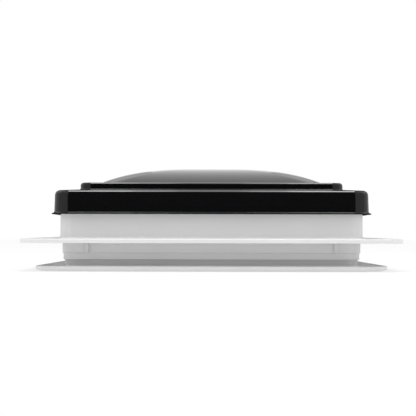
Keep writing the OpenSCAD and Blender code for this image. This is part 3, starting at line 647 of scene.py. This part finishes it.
def trim_profile():
    """The ring's section all round: neck, stop ledge, face and upturned rim."""
    inside, outside = TRIM_NECK
    c_in, c_out = 14.7, 17.1
    face = TRIM_Z0
    p = [(inside + 0.5, c_in + 0.5, TRIM_Z1), (inside, c_in, TRIM_Z1 - 0.5), (inside, c_in, STOP_Z + 3.2),
         (inside - 2.3, c_in - 2.3, STOP_Z + 2.6), (inside - 2.5, c_in - 2.5, STOP_Z + 0.4),
         (inside - 2.3, c_in - 2.3, STOP_Z), (inside, c_in, STOP_Z), (inside, c_in, face + 1.4)]
    p += [(inside + 1.4 + x, c_in + 1.4 + x, face + 1.4 + z) for x, z in arc(0, 0, 1.4, 180, 270, 6)]
    p += [(inside + 12, 22, face), (TRIM - 14, 30, face)]
    sweep = [math.radians(a) for a in range(6, 91, 7)]
    p += [(TRIM - 14 + 14 * math.sin(a), 26 + 14 * math.sin(a), face + 3 * (1 - math.cos(a))) for a in sweep]
    p += [(TRIM, 40, face + 5.3)]
    p += [(TRIM - 0.9 + x, 39.1 + x, face + 5.3 + z) for x, z in arc(0, 0, 0.9, 0, 180, 10)]
    p += [(TRIM - 2.1, 37.9, face + 4.6)]
    p += [(TRIM - 3.6 + x, 36.4 + x, face + 4.6 + z) for x, z in arc(0, 0, 1.5, 0, -88, 6)]
    p += [(TRIM - 14, 30, face + 3.1), (outside + 6, 20, face + 3.1)]
    p += [(outside + 1.8 + x, c_out + 1.8 + x, face + 4.9 + z) for x, z in arc(0, 0, 1.8, -95, -180, 6)]
    p += [(outside, c_out, TRIM_Z1 - 0.5), (outside - 0.5, c_out - 0.5, TRIM_Z1)]
    return p


def make_trim():
    shell = square_loft("trim_shell", trim_profile(), 18, (-1, -0.6, -0.2, 0.2, 0.6, 1), closed=True)
    hole = [(4.7, -2), (4.7, 0), (4.3, 0.35), (4.3, 1.1), (2.25, 1.1), (2.25, 5)]
    counterbore = [(r, TRIM_Z0 + depth) for r, depth in hole]
    cut(shell, [lathe("hole", counterbore, place, 32) for place in screw_places("ceiling_screws")])
    parts = [shell]
    for turn in range(4):
        for side in (-1, 1):
            rib = block((TRIM_NECK[0] - 0.6, side * 70 - 12, SCREEN_Z0 - 2.4),
                        (TRIM_NECK[0] + 0.8, side * 70 + 12, SCREEN_Z0 - 0.6), 0.5)
            rib.data.transform(Matrix.Rotation(turn * math.pi / 2, 4, "Z"))
            parts.append(rib)
    return shade(joined("trim_shell", parts), 38)


# ---------------------------------------------------------------- seal, screen, knob

def make_seal():
    """A U channel over the collar's rim with a hollow-looking bulb on top."""
    mid = COLLAR - 1.5
    rim = COLLAR_Z
    inner = [(-1.5, rim), (-1.5, rim - 6.6), (-2.2, rim - 7), (-2.9, rim - 6.6), (-3.1, rim - 3.2),
             (-2.7, rim - 2.6), (-3.1, rim - 2.0), (-3.1, rim + 1.2), (-2.6, rim + 1.9), (-1.7, rim + 2.4)]
    radius = 4.5
    bulb = arc(0, SEAL_Z1 - radius, radius, 250, -70, 26)
    outer = [(-x, z) for x, z in reversed(inner)]
    profile = [(mid + x, 13.5 + x, z) for x, z in inner + bulb + outer]
    return shade(square_loft("seal", profile, 14, (-1, 0, 1), closed=True), 50)


def make_spline():
    """Vinyl cord pressed into the screen frame's groove."""
    low, high = span("screen_spline", 2)
    outer = span("screen_spline", 0)[1]
    mid, r = outer - 1.2, (high - low) / 2
    turns = [math.radians(a) for a in range(0, 360, 24)]
    section = [(1.15 * math.cos(a), low + r + r * math.sin(a)) for a in turns]
    profile = [(mid + x, 5.9 + x, z) for x, z in section]
    return shade(square_loft("spline", profile, 8, (-1, 0, 1), closed=True), 60)


def make_insect_mesh():
    """Glass-fibre insect mesh: two layers of round strands, cut to the frame and round the hub."""
    low, high = span("insect_screen", 2)
    half, corner, hub = MESH_HALF - 0.3, 7.0, 31.6
    pitch, r, sides = 1.7, 0.125, 5
    count = int(half / pitch)
    verts, faces = [], []

    def strand(a0, a1, across, z, along_x):
        start = len(verts)
        for a in (a0, a1):
            for k in range(sides):
                t = 2 * math.pi * k / sides
                b, c = across + r * math.cos(t), z + r * math.sin(t)
                verts.append((a, b, c) if along_x else (b, a, c))
        far = start + sides
        for k in range(sides):
            after = (k + 1) % sides
            faces.append((start + k, start + after, far + after, far + k))
        faces.append(tuple(start + k for k in range(sides))[::-1])
        faces.append(tuple(far + k for k in range(sides)))

    for layer, along_x in enumerate((True, False)):
        z = (low + high) / 2 + (r * 0.9 if layer else -r * 0.9)
        for i in range(-count, count + 1):
            b = i * pitch
            over = max(0.0, abs(b) - (half - corner))
            end = half - corner + math.sqrt(max(0.0, corner ** 2 - over ** 2))
            if abs(b) < hub:
                gap = math.sqrt(hub ** 2 - b ** 2)
                strand(-end, -gap, b, z, along_x)
                strand(gap, end, b, z, along_x)
            else:
                strand(-end, end, b, z, along_x)
    return shade(new_object("insect_mesh", verts, faces), 80)


def make_knob():
    """A round knob with eight finger scallops and a sunk centre for its screw."""
    top, base = KNOB_Z1, KNOB_Z0
    rim = 20.7                              # radius over the lobes

    def scalloped(angle, r):
        if r < 12:
            return r
        lobe = 0.5 - 0.5 * math.cos(8 * angle)
        return r - 2.1 * (r / rim) ** 4 * (1 - lobe) ** 1.6

    profile = [(2.6, base + 5.2), (7.6, base + 5.0), (8.0, base + 4.4), (8.1, base + 1.0)]
    profile += [(8.9, base + 0.15), (11, base), (rim - 4.3, base + 0.05)]
    profile += [(rim - 3.3 + x, base + 3.3 + z) for x, z in arc(0, 0, 3.2, -86, 0, 9)]
    profile += [(rim, base + 10.0)]
    profile += [(rim - 1.6 + x, base + 10 + z) for x, z in arc(0, 0, 1.6, 0, 70, 5)]
    profile += [(rim - 6.5, base + 13.0), (10.5, base + 13.9), (8.3, base + 14.6), (8, base + 15.4)]
    profile += [(8, top - 0.5), (7.5, top), (4.05, top), (4.05, top - 0.6)]
    return shade(lathe("knob", profile, (0, 0), 160, scalloped), 42)


# ---------------------------------------------------------------- CAD nodes that keep their shape

def softened(node, width):
    """A copy of a CAD node with its edges rounded off, in place of the node."""
    source = frame["nodes"][node]
    bm = bmesh.new()
    bm.from_mesh(source.data)
    bmesh.ops.remove_doubles(bm, verts=bm.verts, dist=1e-7)
    bmesh.ops.dissolve_limit(bm, angle_limit=math.radians(0.6), verts=bm.verts, edges=bm.edges)
    mesh = bpy.data.meshes.new(node)
    bm.to_mesh(mesh)
    bm.free()
    obj = bpy.data.objects.new(node, mesh)
    bpy.context.scene.collection.objects.link(obj)
    bevelled(obj, width, 32)
    shade(obj, 42)
    return piece(obj, node + "_soft", node)


# ---------------------------------------------------------------- stage

def matte(name, color, glow=0.0):
    """A plain matt finish for the studio, which may also give a little light."""
    look = Look(name, (color, color, color), 1.0)
    look.shader.inputs["Specular IOR Level"].default_value = 0.0
    look.shader.inputs["Emission Color"].default_value = (1, 1, 1, 1)
    look.shader.inputs["Emission Strength"].default_value = glow
    return look.material


def card(name, corners, material, diffuse=False):
    """A flat studio card that the camera doesn't see: it shows in the lid's gloss, and shades if diffuse."""
    obj = new_object(name, corners, [tuple(range(len(corners)))], 1)
    obj.data.materials.append(material)
    obj.visible_camera = False
    obj.visible_shadow = False
    obj.visible_diffuse = diffuse
    return obj


def upright(x, y, z0, z1):
    return [(-x, y, z0), (x, y, z0), (x, y, z1), (-x, y, z1)]


def area_light(name, place, target, size, power):
    """A soft fill light that leaves no reflection in the lid."""
    data = bpy.data.lights.new(name, "AREA")
    data.shape = "RECTANGLE"
    data.size, data.size_y = size
    data.energy = power
    obj = bpy.data.objects.new(name, data)
    bpy.context.scene.collection.objects.link(obj)
    obj.location = place
    obj.rotation_euler = (Vector(target) - Vector(place)).to_track_quat("-Z", "Y").to_euler()
    obj.visible_glossy = False
    obj.visible_camera = False
    return obj


ROOM_TOP = 2.4                              # height of the side walls
BACK_TOP = 1.2
FRONT_Y = -2.6                              # the dark wall in front of the lid
BOX_Z = 1.5                                 # height of the soft box above the lid
BOX_Y = (-0.33, 0.55)
SIDE_WALLS = (                              # name, finish, two ends in plan, height
    ("side_card", "side", (1.15, FRONT_Y), (1.9, -0.3), ROOM_TOP),
    ("side_flag", "flag", (1.88, -0.4), (1.88, -0.15), ROOM_TOP),
    ("rear_card", "side", (1.9, 0.0), (1.3, 2.6), BACK_TOP),
    ("back_card", "side", (1.3, 2.6), (0.22, 2.6), BACK_TOP),
    ("ear_card", "felt", (0.4, 0.27), (0.185, 0.27), 0.7),
)
BOX_STRIPS = ((0.0, 0.08, 3.0), (0.08, 0.17, 5.5), (0.17, 0.46, 9.5))   # from x, to x, glow


def make_stage():
    """A pale floor, cards and a soft box for the lid's gloss to show, and lights for the white parts."""
    size, z = 14.0, FLOOR_Z
    floor = new_object("floor", [(-size, -size, z), (size, -size, z), (size, size, z), (-size, size, z)],
                       [(0, 1, 2, 3)], 1)
    floor.data.materials.append(matte("floor_paint", 0.45, 0.52))
    world = bpy.data.worlds.new("studio")
    bpy.context.scene.world = world
    world.use_nodes = True
    world.node_tree.nodes["Background"].inputs["Color"].default_value = (1, 1, 1, 1)
    world.node_tree.nodes["Background"].inputs["Strength"].default_value = 1.0
    felt = matte("card_felt", 0.01)
    card("low_card", upright(1.15, FRONT_Y, -0.5, 1.3), felt, diffuse=True)
    card("high_card", upright(1.15, FRONT_Y - 0.01, 1.3, 2.6), felt)
    slope = [(-1.15, FRONT_Y, 2.6), (1.15, FRONT_Y, 2.6), (1.15, -0.35, 3.2), (-1.15, -0.35, 3.2)]
    card("top_card", slope, felt)
    cloths = {"felt": felt, "side": matte("side_cloth", 0.0, 0.66), "flag": matte("shade_cloth", 0.0, 0.4)}
    for side in (-1, 1):
        for name, cloth, (x0, y0), (x1, y1), top in SIDE_WALLS:
            low = [(side * x0, y0, -0.1), (side * x1, y1, -0.1)]
            high = [(side * x1, y1, top), (side * x0, y0, top)]
            card(name, low + high, cloths[cloth])
    for x0, x1, glow in BOX_STRIPS:         # brighter towards its two ends
        cloth = matte("soft_box_cloth", 0.0, glow)
        corners = ((x0, BOX_Y[0]), (x1, BOX_Y[0]), (x1, BOX_Y[1]), (x0, BOX_Y[1]))
        for side in (-1, 1):
            card("soft_box", [(side * x, y, BOX_Z) for x, y in corners], cloth)
    area_light("high_fill", (0, -1.1, 2.3), (0, 0, 0.02), (1.6, 0.9), 16)
    for side in (-1, 1):                    # low, to pick out the ribs and the collar's corners
        place, target = (side * 0.95, -0.95, 0.01), (side * 0.13, -0.176, -0.008)
        area_light("side_light", place, target, (0.12, 0.12), 0.9)


def make_camera():
    """The photograph's view: from the opening side, at the height of the roof flange."""
    data = bpy.data.cameras.new("camera")
    data.sensor_width = 36
    data.lens = 125.1
    obj = bpy.data.objects.new("camera", data)
    bpy.context.scene.collection.objects.link(obj)
    obj.location = (0, -1.851, 0.008)
    pan, tilt, roll = 0.137, 1.12, -0.12    # degrees
    obj.rotation_euler = (math.radians(90 + tilt), math.radians(roll), math.radians(pan))
    bpy.context.scene.camera = obj


# ---------------------------------------------------------------- build

piece(make_lid(), "lid_shell", "lid")
piece(make_base(), "base_shell", "base_frame")
piece(make_trim(), "trim_shell", "trim_ring")
piece(make_seal(), "seal_bulb", "lid_seal")
piece(make_spline(), "spline_cord", "screen_spline")
piece(make_insect_mesh(), "insect_strands", "insect_screen")
piece(make_knob(), "knob_body", "crank_knob")

SOFTENED = {                                # rounding of each node's edges, in millimetres
    "screen_frame": 0.5, "bridge": 0.5, "gearbox_shell_left": 0.5, "gearbox_shell_right": 0.5,
    "bearing_bracket_left": 0.4, "bearing_bracket_right": 0.4,
    "hinge_leaf_left": 0.25, "hinge_leaf_right": 0.25,
    "lift_bracket_left": 0.25, "lift_bracket_right": 0.25,
    "lift_arm_left": 0.3, "lift_arm_right": 0.3, "cross_shaft": 0.3,
    "roller_left": 0.25, "roller_right": 0.25, "roller_pins": 0.2,
    "hinge_pin_left": 0.25, "hinge_pin_right": 0.25, "shaft_bush_left": 0.2, "shaft_bush_right": 0.2,
}
for name, width in SOFTENED.items():
    softened(name, width)

for name, obj in frame["nodes"].items():
    obj.data.materials.clear()
    obj.data.materials.append(LOOKS[SLOT_OF[name]].material)

make_stage()
make_camera()
